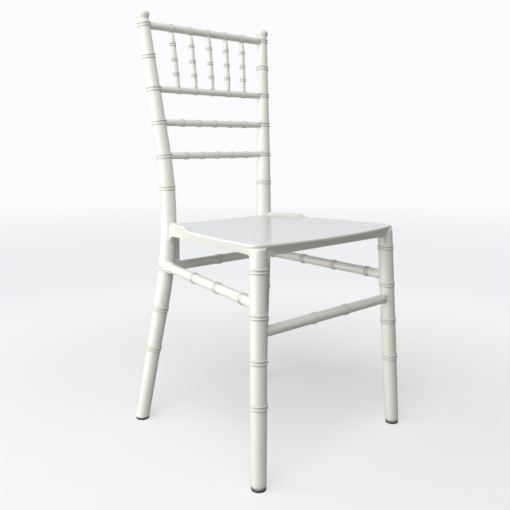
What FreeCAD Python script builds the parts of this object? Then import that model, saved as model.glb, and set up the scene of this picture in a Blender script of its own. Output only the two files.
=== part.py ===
import FreeCAD, Part
import math
import os
import Sketcher

# Chiavari chair in moulded resin: round members with bamboo rings, housed end in socket.
# Millimetres and degrees. +Z is up, the front edge of the seat faces -Y, and the origin
# is on the floor under the middle of the chair. The chair is the same left and right, so
# paired members are made for the +X side and mirrored.

# Every size that can be set by itself is written once here. Heights below the seat are
# drops from its top, and heights in the back are drops from the top of the chair. Front
# places are measured ahead of the leg's top, and rear ones from the post's bend.
SIZES = {
    # frame: from the rear post's bend to the front leg's top, and its middle ahead of the origin
    "frame_depth": 328.0,
    "frame_ahead": 19.5,
    # rear post: two straight runs and an arc, in an upright plane turned outwards
    "chair_height": 920.0,
    "post_knee_x": 140.0,
    "post_knee_above_seat": 3.0,
    "post_plane_angle": 51.3,
    "post_top_outset": 70.0,
    "post_foot_outset": 79.0,
    "post_bend_radius": 1050.0,
    "post_top_dia": 25.5,
    "post_seat_dia": 35.5,
    "post_foot_dia": 30.0,
    "finial_dia": 31.0,
    "finial_length": 21.0,
    "finial_neck_dia": 23.5,
    "post_ring_pitch": 92.0,
    "post_ring_width": 6.0,
    "post_ring_rise": 1.5,
    # back rails and spindles
    "top_rail_drop": 30.0,
    "spindle_run": 141.0,
    "rail_pitch": 74.5,
    "top_rail_dia": 17.0,
    "back_rail_dia": 15.0,
    "spindle_share": 0.30,
    "spindle_dia": 12.0,
    # seat panel
    "seat_height": 447.0,
    "seat_rise": 9.0,
    "seat_thickness": 6.0,
    "seat_front_ahead": 37.0,
    "seat_corner_x": 214.0,
    "seat_corner_ahead": 14.0,
    "seat_rear_x": 163.0,
    "seat_rear_behind": 7.5,
    "seat_corner_radius": 14.0,
    "seat_slope_length": 50.0,
    "seat_slope_to_bend": 78.0,
    "seat_tab_length": 14.0,
    "seat_tab_width": 6.0,
    "seat_tab_depth": 12.0,
    "seat_tab_rear_along": 75.0,
    # aprons
    "apron_depth": 17.0,
    "apron_flare": 12.0,
    "apron_flare_radius": 11.5,
    "apron_flare_reach": 4.0,
    "apron_thickness": 14.0,
    "front_apron_ahead": 5.0,
    # front legs
    "leg_foot_x": 208.0,
    "leg_foot_ahead": 16.0,
    "leg_top_x": 194.5,
    "leg_top_dia": 32.5,
    "leg_foot_dia": 28.5,
    "leg_ring_drop": 49.0,
    "leg_ring_pitch": 82.0,
    "leg_ring_width": 6.0,
    "leg_ring_rise": 1.5,
    # stretchers, as drops from the top of the seat
    "stretcher_dia": 20.0,
    "front_stretcher_drop": 163.0,
    "rear_stretcher_drop": 97.0,
    "side_stretcher_rear_drop": 94.0,
    "side_stretcher_front_drop": 112.0,
    "stretcher_ring_width": 4.5,
    "stretcher_ring_rise": 1.3,
    "front_ring_x": 48.0,
    "side_ring_pitch": 88.0,
    "stub_length": 20.0,
    "stub_dia": 23.0,
    "stub_root_dia": 27.0,
    "stub_socket_depth": 14.0,
    "web_width": 11.0,
    "web_thickness": 8.0,
    "web_corner_radius": 10.0,
    # glides
    "glide_height": 5.0,
    "glide_inset": 0.6,
    "glide_stem_width": 8.0,
    "glide_stem_length": 14.0,
    # how far a member's end goes into the one that carries it, and the play there
    "housing_depth": 8.0,
    "fit": 0.1,
    "seam": 0.4,
}

ORIGIN = FreeCAD.Vector(0, 0, 0)
X_AXIS = FreeCAD.Vector(1, 0, 0)
Z_AXIS = FreeCAD.Vector(0, 0, 1)
REACH = 60.0            # spare length of a tool beyond what it cuts
SUNK = 0.5              # how far a piece's root lies under the surface that it stands on
BEND_STEP = 65.0        # greatest height between two circles of the post's bend
SPINDLE_STEPS = (-2, -1, 0, 1, 2)

doc = FreeCAD.newDocument("chiavari_chair")
sheet = doc.addObject("Spreadsheet::Sheet", "Sizes")
for row, (alias, number) in enumerate(SIZES.items(), start=1):
    sheet.set("A%d" % row, alias)
    sheet.set("B%d" % row, str(number))
    sheet.setAlias("B%d" % row, alias)
doc.recompute()

nodes = []


class Size:
    """A number kept together with the sheet expression that gives it."""

    def __init__(self, value, text):
        self.value = value
        self.text = text

    def __add__(self, other):
        return combine(self, "+", other)

    def __radd__(self, other):
        return combine(other, "+", self)

    def __sub__(self, other):
        return combine(self, "-", other)

    def __rsub__(self, other):
        return combine(other, "-", self)

    def __mul__(self, other):
        return combine(self, "*", other)

    def __rmul__(self, other):
        return combine(other, "*", self)

    def __truediv__(self, other):
        return combine(self, "/", other)


def as_size(item):
    if isinstance(item, Size):
        return item
    return Size(float(item), "%.9f" % item)


def combine(left, sign, right):
    """Work out a sum or product of sizes, and write the same sum for the sheet."""
    left, right = as_size(left), as_size(right)
    results = {
        "+": left.value + right.value,
        "-": left.value - right.value,
        "*": left.value * right.value,
        "/": left.value / right.value if right.value else 0.0,
    }
    return Size(results[sign], "(%s %s %s)" % (left.text, sign, right.text))


def size(alias):
    return Size(SIZES[alias], "Sizes." + alias)


def number_of(item):
    return as_size(item).value


def vector(x, y, z):
    return FreeCAD.Vector(number_of(x), number_of(y), number_of(z))


def between(start, end, share):
    return start + (end - start) * share


def pointing(base, direction):
    """Placement that puts local Z along a direction."""
    return FreeCAD.Placement(base, FreeCAD.Rotation(Z_AXIS, direction))


# Sketch and feature helpers

def pin(sketch, line, kind, distance):
    """Hold the start of a line at a distance from the sketch's origin."""
    distance = as_size(distance)
    if abs(distance.value) < 1e-9:
        axis = -2 if kind == "DistanceX" else -1
        sketch.addConstraint(Sketcher.Constraint("PointOnObject", line, 1, axis))
        return
    index = sketch.addConstraint(Sketcher.Constraint(kind, -1, 1, line, 1, distance.value))
    if "Sizes." in distance.text:
        sketch.setExpression("Constraints[%d]" % index, distance.text)


def sketch_on(body, name, role):
    """Sketch on one of the body's own origin planes."""
    sketch = body.newObject("Sketcher::SketchObject", name)
    plane = next(item for item in body.Origin.OriginFeatures if item.Role == role)
    sketch.AttachmentSupport = [(plane, "")]
    sketch.MapMode = "FlatFace"
    return sketch


def outline(body, name, corners):
    """Closed sketch of straight lines on the body's XZ plane."""
    sketch = sketch_on(body, name, "XZ_Plane")
    points = [vector(x, y, 0) for x, y in corners]
    following = points[1:] + points[:1]
    for start, end in zip(points, following):
        sketch.addGeometry(Part.LineSegment(start, end), False)
    count = len(points)
    for line in range(count):
        sketch.addConstraint(Sketcher.Constraint("Coincident", line, 2, (line + 1) % count, 1))
    for line, (x, y) in enumerate(corners):
        pin(sketch, line, "DistanceX", x)
        pin(sketch, line, "DistanceY", y)
    return sketch


def turned(name, stations):
    """Solid of revolution about local Z from (radius, height) stations, low end first."""
    body = doc.addObject("PartDesign::Body", name)
    corners = [(0, stations[0][1])] + list(stations) + [(0, stations[-1][1])]
    sketch = outline(body, name + "_profile", corners)
    revolution = body.newObject("PartDesign::Revolution", name + "_turning")
    revolution.Profile = sketch
    revolution.ReferenceAxis = (sketch, ["V_Axis"])
    revolution.Angle = 360.0
    body.Tip = revolution
    return body


def padded(body, name, sketch, thickness):
    pad = body.newObject("PartDesign::Pad", name + "_pad")
    pad.Profile = sketch
    pad.Midplane = True
    pad.setExpression("Length", thickness.text)
    body.Tip = pad
    return pad


def rounded(body, name, base, radius, places):
    """Fillet on the edges along Y that stand at the given (x, z) places of a board."""
    doc.recompute()
    edges = []
    for number, edge in enumerate(base.Shape.Edges, start=1):
        middle = edge.CenterOfMass
        for x, z in places:
            if math.hypot(middle.x - number_of(x), middle.z - number_of(z)) < 1e-3:
                edges.append("Edge%d" % number)
    fillet = body.newObject("PartDesign::Fillet", name + "_rounding")
    fillet.Base = (base, edges)
    fillet.setExpression("Radius", radius.text)
    body.Tip = fillet


def rod(name, radius, length, base, direction):
    """Round tool or peg from a base point along a direction."""
    cylinder = doc.addObject("Part::Cylinder", name)
    cylinder.setExpression("Radius", as_size(radius).text)
    cylinder.setExpression("Height", as_size(length).text)
    cylinder.Placement = pointing(base, direction)
    return cylinder


def block(name, length, width, height, corner, turn=0.0):
    """Box with its sizes from the sheet, its corner placed and turned about Z."""
    box = doc.addObject("Part::Box", name)
    box.setExpression("Length", as_size(length).text)
    box.setExpression("Width", as_size(width).text)
    box.setExpression("Height", as_size(height).text)
    box.Placement = FreeCAD.Placement(corner, FreeCAD.Rotation(Z_AXIS, turn))
    return box


def stem_block(name, foot, width, play):
    """Square stem of a glide, or its socket, standing on the glide's top face."""
    length = size("glide_stem_length") + play
    return block(name, width, width, length,
                 vector(foot.x - width / 2, foot.y - width / 2, size("glide_height")))


def tab_block(name, place, play):
    """Tab under the seat panel, or its socket, hanging from a place on the panel's underside."""
    length, width = size("seat_tab_length") + 2 * play, size("seat_tab_width") + 2 * play
    height = size("seat_tab_depth") + play + SUNK
    return block(name, width, length, height,
                 vector(place.x - width / 2, place.y - length / 2, place.z + SUNK - height))


def below(name, x, y, level):
    """Big block under a level, centred on a place, to trim a member flat."""
    side = 2 * REACH
    return block(name, side, side, side, vector(x - REACH, y - REACH, number_of(level) - side))


def joined(name, shapes):
    fuse = doc.addObject("Part::MultiFuse", name)
    fuse.Shapes = shapes
    fuse.Refine = False
    return fuse


def cut(name, base, tools):
    """Take the tools away one after another. The last step carries the piece's name."""
    for step, tool in enumerate(tools, start=1):
        last = step == len(tools)
        result = doc.addObject("Part::Cut", name if last else "%s_step_%d" % (name, step))
        result.Base = base
        result.Tool = tool
        result.Refine = False
        base = result
    return base


def mirrored(name, source):
    mirror = doc.addObject("Part::Mirroring", name)
    mirror.Source = source
    mirror.Normal = X_AXIS
    mirror.Base = ORIGIN
    return mirror


def node(label, item):
    """Name a finished piece and list it for export."""
    item.Label = label
    nodes.append(item)
    return item


def pair(stem, item):
    """A +X piece and its mirror image. Left is the chair's -X side."""
    node(stem + "_right", item)
    node(stem + "_left", mirrored(stem + "_mirror", item))


def bamboo(start, end, rings, radius_of, width, rise):
    """Stations of a ringed stick: plain lengths, each of one radius, met at raised rings.

    radius_of gives a plain length's radius from its two ends.
    """
    ends = [start] + list(rings) + [end]
    radii = [as_size(radius_of(low, high)) for low, high in zip(ends, ends[1:])]
    stations = []
    for index, (low, high) in enumerate(zip(ends, ends[1:])):
        radius = radii[index]
        first = low if index == 0 else low + width / 2
        last = high if index == len(rings) else high - width / 2
        stations += [(radius, first), (radius, last)]
        if index < len(rings):
            fuller = max(radius, radii[index + 1], key=number_of)
            stations.append((fuller + rise, high))
    return stations


# Places along the chair

bend_y = size("frame_depth") / 2 - size("frame_ahead")
leg_top_y = bend_y - size("frame_depth")
leg_foot_y = leg_top_y - size("leg_foot_ahead")
front_apron_y = leg_top_y - size("front_apron_ahead")
seat_front_y = leg_top_y - size("seat_front_ahead")
seat_corner_y = leg_top_y - size("seat_corner_ahead")
seat_rear_y = bend_y + size("seat_rear_behind")
slope_rear_y = bend_y - size("seat_slope_to_bend")
slope_front_y = slope_rear_y - size("seat_slope_length")


# Heights

fit = size("fit")
depth = size("housing_depth")
seat_top = size("seat_height")
seat_under = seat_top - size("seat_thickness")
seat_back_under = seat_under + size("seat_rise")
apron_low = seat_under - size("apron_depth")
apron_end_low = apron_low - size("apron_flare")
apron_middle = (seat_under + apron_low) / 2
knee_z = seat_top + size("post_knee_above_seat")
front_z = seat_top - size("front_stretcher_drop")
rear_z = seat_top - size("rear_stretcher_drop")
side_rear_z = seat_top - size("side_stretcher_rear_drop")
side_front_z = seat_top - size("side_stretcher_front_drop")
top_rail_z = size("chair_height") - size("top_rail_drop")
spindle_rail_z = top_rail_z - size("spindle_run")
middle_rail_z = spindle_rail_z - size("rail_pitch")
lower_rail_z = middle_rail_z - size("rail_pitch")
rail_levels = {
    "top_rail": (top_rail_z, size("top_rail_dia")),
    "spindle_rail": (spindle_rail_z, size("back_rail_dia")),
    "middle_rail": (middle_rail_z, size("back_rail_dia")),
    "lower_rail": (lower_rail_z, size("back_rail_dia")),
}


# Where the rear post runs. In its own upright plane the axis has an outset at each height.

class PostPath:
    """Straight, arc, straight."""

    def __init__(self):
        self.knee = knee_z.value
        self.radius = SIZES["post_bend_radius"]
        rise = SIZES["chair_height"] - self.knee
        self.low_slope = SIZES["post_foot_outset"] / self.knee
        self.high_slope = SIZES["post_top_outset"] / rise
        low_lean = math.atan(self.low_slope)
        high_lean = math.atan(self.high_slope)
        tangent = self.radius * math.tan((low_lean + high_lean) / 2)
        self.arc_low = self.knee - tangent * math.cos(low_lean)
        self.arc_high = self.knee + tangent * math.cos(high_lean)
        self.centre_u = tangent * math.sin(low_lean) + self.radius * math.cos(low_lean)
        self.centre_z = self.arc_low + self.radius * math.sin(low_lean)
        angle = math.radians(SIZES["post_plane_angle"])
        self.outward = FreeCAD.Vector(math.cos(angle), math.sin(angle), 0)
        self.hinge_line = Z_AXIS.cross(self.outward)

    def at(self, u, z):
        return vector(size("post_knee_x"), bend_y, z) + self.outward * u

    def point(self, z):
        if z < self.arc_low:
            return self.at((self.knee - z) * self.low_slope, z)
        if z > self.arc_high:
            return self.at((z - self.knee) * self.high_slope, z)
        reach = math.sqrt(self.radius ** 2 - (z - self.centre_z) ** 2)
        return self.at(self.centre_u - reach, z)

    def lean(self, z):
        """Angle from upright, positive where the post leans outwards going up."""
        if z < self.arc_low:
            return -math.atan(self.low_slope)
        if z > self.arc_high:
            return math.atan(self.high_slope)
        return math.asin((z - self.centre_z) / self.radius)

    def direction(self, z):
        return Z_AXIS * math.cos(self.lean(z)) + self.outward * math.sin(self.lean(z))


post = PostPath()

post_rings = [rear_z.value - 2 * SIZES["post_ring_pitch"], rear_z.value - SIZES["post_ring_pitch"],
              rear_z.value, lower_rail_z.value - SIZES["rail_pitch"], lower_rail_z.value,
              middle_rail_z.value, spindle_rail_z.value,
              (spindle_rail_z.value + top_rail_z.value) / 2, top_rail_z.value]


def post_radius(z):
    """Radius of the plain length that a height falls in. It is fullest round the seat."""
    foot, seat, top = (size("post_%s_dia" % place) / 2 for place in ("foot", "seat", "top"))
    marks = [SIZES["glide_height"]] + post_rings + [SIZES["chair_height"]]
    low = max([mark for mark in marks if mark <= z] or marks[:1])
    high = min([mark for mark in marks if mark > z] or marks[-1:])
    middle = (low + high) / 2
    if middle < post_rings[0]:
        return foot
    if middle < post.knee:
        share = (middle - post_rings[0]) / (post_rings[2] - post_rings[0])
        return between(foot, seat, min(share, 1.0))
    return between(seat, top, (middle - post.knee) / (post_rings[-1] - post.knee))


def post_surface_x(z):
    """How far from the chair's middle the post's inner side is, at a height."""
    return post.point(z).x - post_radius(z).value


def post_marks():
    """Heights where one length of the post meets the next: at its rings and along its bend."""
    marks = [SIZES["glide_height"] - REACH / 2] + post_rings
    marks.append(SIZES["chair_height"] - SIZES["finial_length"])
    extra = []
    for low, high in zip(marks, marks[1:]):
        bent = min(high, post.arc_high) - max(low, post.arc_low)
        count = math.ceil(max(bent, 0) / BEND_STEP)
        extra += [low + (high - low) * step / count for step in range(1, count)]
    return sorted(marks + extra)


def post_lengths():
    """Round lengths from mark to mark, mitred where the post bends."""
    marks = post_marks()
    points = [post.point(mark) for mark in marks]
    axes = [(high - low).normalize() for low, high in zip(points, points[1:])]
    lengths = []
    for index, axis in enumerate(axes):
        low, high = points[index], points[index + 1]
        radius = post_radius((marks[index] + marks[index + 1]) / 2).value
        spare = radius
        whole = Part.makeCylinder(radius, (high - low).Length + 2 * spare, low - axis * spare, axis)
        before = axes[max(index - 1, 0)]
        after = axes[min(index + 1, len(axes) - 1)]
        for place, beyond in ((low, (before + axis) * -1), (high, axis + after)):
            waste = Part.makeBox(4 * radius, 4 * radius, 2 * spare)
            waste.translate(FreeCAD.Vector(-2 * radius, -2 * radius, 0))
            waste.Placement = pointing(place, beyond).multiply(waste.Placement)
            whole = whole.cut(waste)
        lengths.append(whole)
    form = doc.addObject("Part::Feature", "post_lengths")
    form.Shape = lengths[0].multiFuse(lengths[1:])
    return form


def post_ring(number, height):
    """Raised ring, whose rims lie just under the surfaces on both sides of it."""
    half = size("post_ring_width") / 2
    under, over = post_radius(height - 1), post_radius(height + 1)
    fuller = max(under, over, key=number_of)
    bead = turned("post_ring_%d" % number, [
        (under - SUNK, half * -1 - SUNK), (fuller + size("post_ring_rise"), 0),
        (over - SUNK, half + SUNK)])
    bead.Placement = pointing(post.point(height), post.direction(height))
    return bead


def finial():
    """Neck drawn out to a cap with a rounded crown. Its flat tip reaches the chair's height."""
    top = SIZES["chair_height"]
    base = top - SIZES["finial_length"]
    neck, cap = size("finial_neck_dia") / 2, size("finial_dia") / 2
    crown = cap * 0.4
    length = (SIZES["finial_length"] - crown.value * math.sin(post.lean(top))) / math.cos(post.lean(top))
    body = turned("finial", [(neck, -SUNK), (neck, length * 0.08), (cap, length * 0.45),
                             (cap, length * 0.64), (cap * 0.85, length * 0.86), (crown, length)])
    body.Placement = pointing(post.point(base), post.direction(top))
    return body


# Where the front leg runs: a straight line, splayed outwards and forwards

leg_foot = vector(size("leg_foot_x"), leg_foot_y, 0)
leg_top = vector(size("leg_top_x"), leg_top_y, seat_under)
leg_axis = leg_top - leg_foot
leg_slant = leg_axis.Length / leg_axis.z
leg_axis.normalize()


def leg_point(z):
    return leg_foot + leg_axis * (number_of(z) * leg_slant)


def leg_radius(z):
    return between(size("leg_foot_dia"), size("leg_top_dia"), z / seat_under) / 2


def leg_surface_x(z):
    return leg_point(z).x - number_of(leg_radius(as_size(z)))


# Lines from post to leg: the side stretcher's, and the side apron's on the flat

side_rear = post.point(side_rear_z.value)
side_front = leg_point(side_front_z)
side_axis = side_front - side_rear
side_span = side_axis.Length
side_axis.normalize()

apron_rear = post.point(apron_middle.value)
apron_front = leg_point(apron_middle)
apron_axis = apron_front - apron_rear
apron_axis.z = 0
apron_span = apron_axis.Length
apron_axis.normalize()
apron_turn = math.degrees(math.atan2(apron_axis.y, apron_axis.x))


def beside_apron(along, across, z):
    """Point at a distance along the side apron from the post, and across it."""
    flat = apron_rear + apron_axis * number_of(along)
    flat += Z_AXIS.cross(apron_axis) * number_of(across)
    return vector(flat.x, flat.y, z)


# Rear posts

def cross_rod(name, radius, z, y, end_x):
    """Round tool along X from the chair's middle to a housed end."""
    return rod(name, radius, end_x, vector(0, y, z), X_AXIS)


stub_start = post_radius(side_rear.z)
stub_end = stub_start + size("stub_length")
stub = turned("stub", [(size("stub_root_dia") / 2, 0), (size("stub_root_dia") / 2, stub_start),
                       (size("stub_dia") / 2, stub_start + size("stub_length") / 3),
                       (size("stub_dia") / 2, stub_end)])
stub.Placement = pointing(side_rear, side_axis)

web_z = (apron_low + rear_z) / 2
web_inner_x = post_surface_x(web_z.value) - SIZES["web_width"]
web_length = post.point(web_z.value).x - web_inner_x
web = doc.addObject("PartDesign::Body", "web")
web_pad = padded(web, "web", outline(web, "web_profile", [
    (0, 0), (web_length, 0), (web_length, apron_low - rear_z), (0, apron_low - rear_z)]),
    size("web_thickness"))
rounded(web, "web", web_pad, size("web_corner_radius"), [(0, 0)])
web.Placement = FreeCAD.Placement(vector(web_inner_x, bend_y, rear_z), FreeCAD.Rotation())

stretcher_radius = size("stretcher_dia") / 2
side_start = stub_end - size("stub_socket_depth")
post_foot = post.point(SIZES["glide_height"])
stem = size("glide_stem_width")
post_tools = [
    rod("stub_socket", stretcher_radius + fit, size("stub_socket_depth") + fit + REACH,
        side_rear + side_axis * (side_start - fit).value, side_axis),
    below("post_foot_trim", post_foot.x, post_foot.y, size("glide_height")),
    stem_block("rear_glide_socket", post_foot, stem + 2 * fit, fit),
]
rail_ends = {}
for name, (level, diameter) in rail_levels.items():
    rail_ends[name] = post_surface_x(level.value) + depth
    post_tools.append(cross_rod(name + "_socket", diameter / 2 + fit, level,
                                post.point(level.value).y, rail_ends[name] + fit))

rear_point = post.point(rear_z.value)
rear_end = post_surface_x(rear_z.value) + depth
rear_apron_end = post_surface_x(apron_low.value) + depth
side_apron_start = post_radius(apron_rear.z) - depth
half_board = size("apron_thickness") / 2 + fit
housing_low = apron_end_low - fit
post_tools += [
    cross_rod("rear_stretcher_socket", stretcher_radius + fit, rear_z, rear_point.y,
              rear_end + fit),
    block("rear_apron_housing", rear_apron_end + fit, 2 * half_board,
          seat_back_under - housing_low + fit,
          vector(0, bend_y - half_board, housing_low)),
    block("side_apron_post_housing", REACH, 2 * half_board, seat_back_under - housing_low + fit,
          beside_apron(side_apron_start - fit, half_board * -1, housing_low), apron_turn),
]
rings = [post_ring(number, height) for number, height in enumerate(post_rings, start=1)]
whole_post = joined("rear_post_whole", [post_lengths(), finial(), stub, web] + rings)
pair("rear_post", cut("rear_post", whole_post, post_tools))


# Back rails and spindles

def cross_stick(name, end, rings, radius):
    """Ringed stick along X through the chair's middle, made upright and laid down."""
    return turned(name, bamboo(end * -1, end, rings, lambda low, high: radius,
                               size("stretcher_ring_width"), size("stretcher_ring_rise")))


def lay_across(body, y, z):
    body.Placement = FreeCAD.Placement(vector(0, y, z), FreeCAD.Rotation(FreeCAD.Vector(0, 1, 0), 90))
    return body


rails = {}
for name, (level, diameter) in rail_levels.items():
    stick = cross_stick(name + "_turned", rail_ends[name], [], diameter / 2)
    rails[name] = lay_across(stick, post.point(level.value).y, level)

top_point = post.point(top_rail_z.value)
low_point = post.point(spindle_rail_z.value)
spindle_radius = size("spindle_dia") / 2
tenon = size("back_rail_dia") / 2 - depth / 2
top_sockets, low_sockets = [], []
for number, step in enumerate(SPINDLE_STEPS, start=1):
    share = step * SIZES["spindle_share"]
    upper = FreeCAD.Vector(top_point.x * share, top_point.y, top_point.z)
    lower = FreeCAD.Vector(low_point.x * share, low_point.y, low_point.z)
    axis = upper - lower
    length = axis.Length - 2 * tenon.value
    axis.normalize()
    start = lower + axis * tenon.value
    end = start + axis * length
    node("spindle_%d" % number, rod("spindle_%d" % number, spindle_radius, length, start, axis))
    top_sockets.append(rod("spindle_%d_top_socket" % number, spindle_radius + fit, REACH,
                           end + axis * SIZES["fit"], axis * -1))
    low_sockets.append(rod("spindle_%d_low_socket" % number, spindle_radius + fit, REACH,
                           start - axis * SIZES["fit"], axis))
node("top_rail", cut("top_rail", rails["top_rail"], top_sockets))
node("spindle_rail", cut("spindle_rail", rails["spindle_rail"], low_sockets))
node("middle_rail", rails["middle_rail"])
node("lower_rail", rails["lower_rail"])


# Front legs

leg_rings = [(seat_top - size("leg_ring_drop") - step * size("leg_ring_pitch")) * leg_slant
             for step in (3, 2, 1, 0)]
leg = turned("front_leg_turned", bamboo(
    as_size(-REACH / 2), (seat_under + REACH / 2) * leg_slant, leg_rings,
    lambda low, high: leg_radius((low + high) / 2 / leg_slant),
    size("leg_ring_width"), size("leg_ring_rise")))
leg.Placement = pointing(leg_foot, leg_axis)

front_point = leg_point(front_z)
front_end = leg_surface_x(front_z) + depth
front_apron_end = leg_surface_x(apron_low) + depth
side_apron_end = apron_span - leg_radius(apron_middle) + depth
side_end = side_span - leg_radius(side_front_z) + depth
front_foot = leg_point(size("glide_height"))
housing_height = seat_under - housing_low + REACH
leg_tools = [
    below("leg_foot_trim", front_foot.x, front_foot.y, size("glide_height")),
    below("leg_top_trim", leg_top.x, leg_top.y, seat_under + 2 * REACH),
    cross_rod("front_stretcher_socket", stretcher_radius + fit, front_z, front_point.y,
              front_end + fit),
    block("front_apron_housing", front_apron_end + fit, 2 * half_board, housing_height,
          vector(0, front_apron_y - half_board, housing_low)),
    block("side_apron_housing", side_apron_end + fit, 2 * half_board, housing_height,
          beside_apron(0, half_board * -1, housing_low), apron_turn),
    rod("side_stretcher_socket", stretcher_radius + fit, side_end + fit, side_rear, side_axis),
    stem_block("front_glide_socket", front_foot, stem + 2 * fit, fit),
    tab_block("leg_tab_socket", leg_top, fit),
]
pair("front_leg", cut("front_leg", leg, leg_tools))


# Seat panel: one profile for the whole width, raised at the back, cut to the seat's plan

def stepped_edge(level):
    """Front to rear at a level: line, two equal arcs that make an S, line."""
    front, rear = slope_front_y.value, slope_rear_y.value
    run, rise = rear - front, SIZES["seat_rise"]
    radius = (run ** 2 + rise ** 2) / (4 * rise)
    half = math.asin(run / 2 / radius) / 2
    sag = radius * (1 - math.cos(half))
    chord = radius * math.sin(half)
    first = FreeCAD.Vector(seat_front_y.value - REACH, level, 0)
    low = FreeCAD.Vector(front, level, 0)
    low_bow = FreeCAD.Vector(front + chord, level + sag, 0)
    middle = FreeCAD.Vector((front + rear) / 2, level + rise / 2, 0)
    high_bow = FreeCAD.Vector(rear - chord, level + rise - sag, 0)
    high = FreeCAD.Vector(rear, level + rise, 0)
    last = FreeCAD.Vector(seat_rear_y.value + REACH, level + rise, 0)
    return first, last, [Part.LineSegment(first, low), Part.Arc(low, low_bow, middle),
                         Part.Arc(middle, high_bow, high), Part.LineSegment(high, last)]


def stepped_slab(name, low, high):
    """Slab across the chair between two stepped edges at the given levels."""
    body = doc.addObject("PartDesign::Body", name)
    sketch = sketch_on(body, name + "_profile", "YZ_Plane")
    low_first, low_last, lower = stepped_edge(low.value)
    high_first, high_last, upper = stepped_edge(high.value)
    closing = [Part.LineSegment(low_last, high_last), Part.LineSegment(high_first, low_first)]
    sketch.addGeometry(lower + upper + closing, False)
    for index in range(len(lower + upper + closing)):
        sketch.addConstraint(Sketcher.Constraint("Block", index))
    padded(body, name, sketch, 4 * size("seat_corner_x"))
    return body


def seat_plan():
    """Plan of the seat: bowed front, straight sides and rear, front corners rounded."""
    corner_x, corner_y = SIZES["seat_corner_x"], seat_corner_y.value
    rear_x, rear_y = SIZES["seat_rear_x"], seat_rear_y.value
    left, right = vector(-corner_x, corner_y, 0), vector(corner_x, corner_y, 0)
    back_left, back_right = vector(-rear_x, rear_y, 0), vector(rear_x, rear_y, 0)
    bow = Part.Arc(left, vector(0, seat_front_y, 0), right)
    edges = [bow.toShape(), Part.LineSegment(right, back_right).toShape(),
             Part.LineSegment(back_right, back_left).toShape(),
             Part.LineSegment(back_left, left).toShape()]
    prism = Part.Face(Part.Wire(edges)).extrude(Z_AXIS * (2 * SIZES["seat_height"]))
    corners = [edge for edge in prism.Edges
               if abs(edge.tangentAt(edge.FirstParameter).z) > 0.99
               and edge.CenterOfMass.y < corner_y + 1]
    return prism.makeFillet(SIZES["seat_corner_radius"], corners)


def post_notch(name):
    """Room for the post, with a fine seam, where a seat member stops against it."""
    direction = post.direction(knee_z.value)
    start = post.point(knee_z.value) - direction * REACH
    return rod(name, post_radius(knee_z.value) + size("seam"), 2 * REACH, start, direction)


plan = doc.addObject("Part::Feature", "seat_plan")
plan.Shape = seat_plan()
panel_cutout = doc.addObject("Part::Common", "seat_panel_outline")
panel_cutout.Base = stepped_slab("seat_panel_slab", seat_under, seat_top)
panel_cutout.Tool = plan
right_notch = post_notch("seat_notch_right")
panel_cut = cut("seat_panel_cut", panel_cutout,
                [right_notch, mirrored("seat_notch_left", right_notch)])

tab_rear = beside_apron(size("seat_tab_rear_along"), 0, seat_back_under)
tabs = []
for name, place in (("front", leg_top), ("rear", tab_rear)):
    tab = tab_block("seat_tab_" + name, place, as_size(0))
    tabs += [tab, mirrored(tab.Name + "_left", tab)]
node("seat_panel", joined("seat_panel", [panel_cut] + tabs))


# Aprons. The upper edge of a side apron follows the underside of the seat panel.

def apron(name, low_end, high_end, top, low_reach, high_reach):
    """Board in the XZ plane, dropped with a rounded inner corner at each end."""
    inner, outer = low_end + low_reach, high_end - high_reach
    body = doc.addObject("PartDesign::Body", name)
    sketch = outline(body, name + "_profile", [
        (low_end, apron_end_low), (inner, apron_end_low), (inner, apron_low),
        (outer, apron_low), (outer, apron_end_low), (high_end, apron_end_low),
        (high_end, top), (low_end, top)])
    pad = padded(body, name, sketch, size("apron_thickness"))
    rounded(body, name, pad, size("apron_flare_radius"), [(inner, apron_low), (outer, apron_low)])
    return body


def cross_apron(name, half, y, top):
    reach = depth + size("apron_flare_reach")
    body = apron(name, half * -1, half, top, reach, reach)
    body.Placement = FreeCAD.Placement(vector(0, y, 0), FreeCAD.Rotation())
    return body


node("front_apron", cross_apron("front_apron_board", front_apron_end, front_apron_y, seat_under))
node("rear_apron", cross_apron("rear_apron_board", rear_apron_end, bend_y, seat_back_under))

side_board = apron("side_apron_board", side_apron_start, side_apron_end, seat_back_under,
                   depth + size("apron_flare_reach"), depth + size("apron_flare_reach"))
side_board.Placement = FreeCAD.Placement(beside_apron(0, 0, 0), FreeCAD.Rotation(Z_AXIS, apron_turn))
pair("side_apron", cut("side_apron", side_board, [
    stepped_slab("space_over_apron", seat_under, seat_top + 2 * REACH),
    tab_block("apron_tab_socket", tab_rear, fit),
]))


# Stretchers

front_rings = [size("front_ring_x") * -1, size("front_ring_x")]
node("front_stretcher", lay_across(
    cross_stick("front_stretcher_turned", front_end, front_rings, stretcher_radius),
    front_point.y, front_z))
node("rear_stretcher", lay_across(
    cross_stick("rear_stretcher_turned", rear_end, [as_size(0)], stretcher_radius),
    rear_point.y, rear_z))

side_rings = [stub_end + step * size("side_ring_pitch") for step in (1, 2, 3)]
side_stretcher = turned("side_stretcher", bamboo(
    side_start, side_end, side_rings, lambda low, high: stretcher_radius,
    size("stretcher_ring_width"), size("stretcher_ring_rise")))
side_stretcher.Placement = pointing(side_rear, side_axis)
pair("side_stretcher", side_stretcher)


# Glides. Each has a square stem that is pushed up into its leg or post.

def glide(name, foot_dia, foot):
    pad = doc.addObject("Part::Cylinder", name + "_pad")
    pad.setExpression("Radius", (foot_dia / 2 - size("glide_inset")).text)
    pad.setExpression("Height", size("glide_height").text)
    pad.Placement.Base = vector(foot.x, foot.y, 0)
    return joined(name, [pad, stem_block(name + "_stem", foot, stem, as_size(0))])


pair("front_glide", glide("front_glide", size("leg_foot_dia"), front_foot))
pair("rear_glide", glide("rear_glide", size("post_foot_dia"), post_foot))


# Check every object, then write one file for each piece

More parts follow.
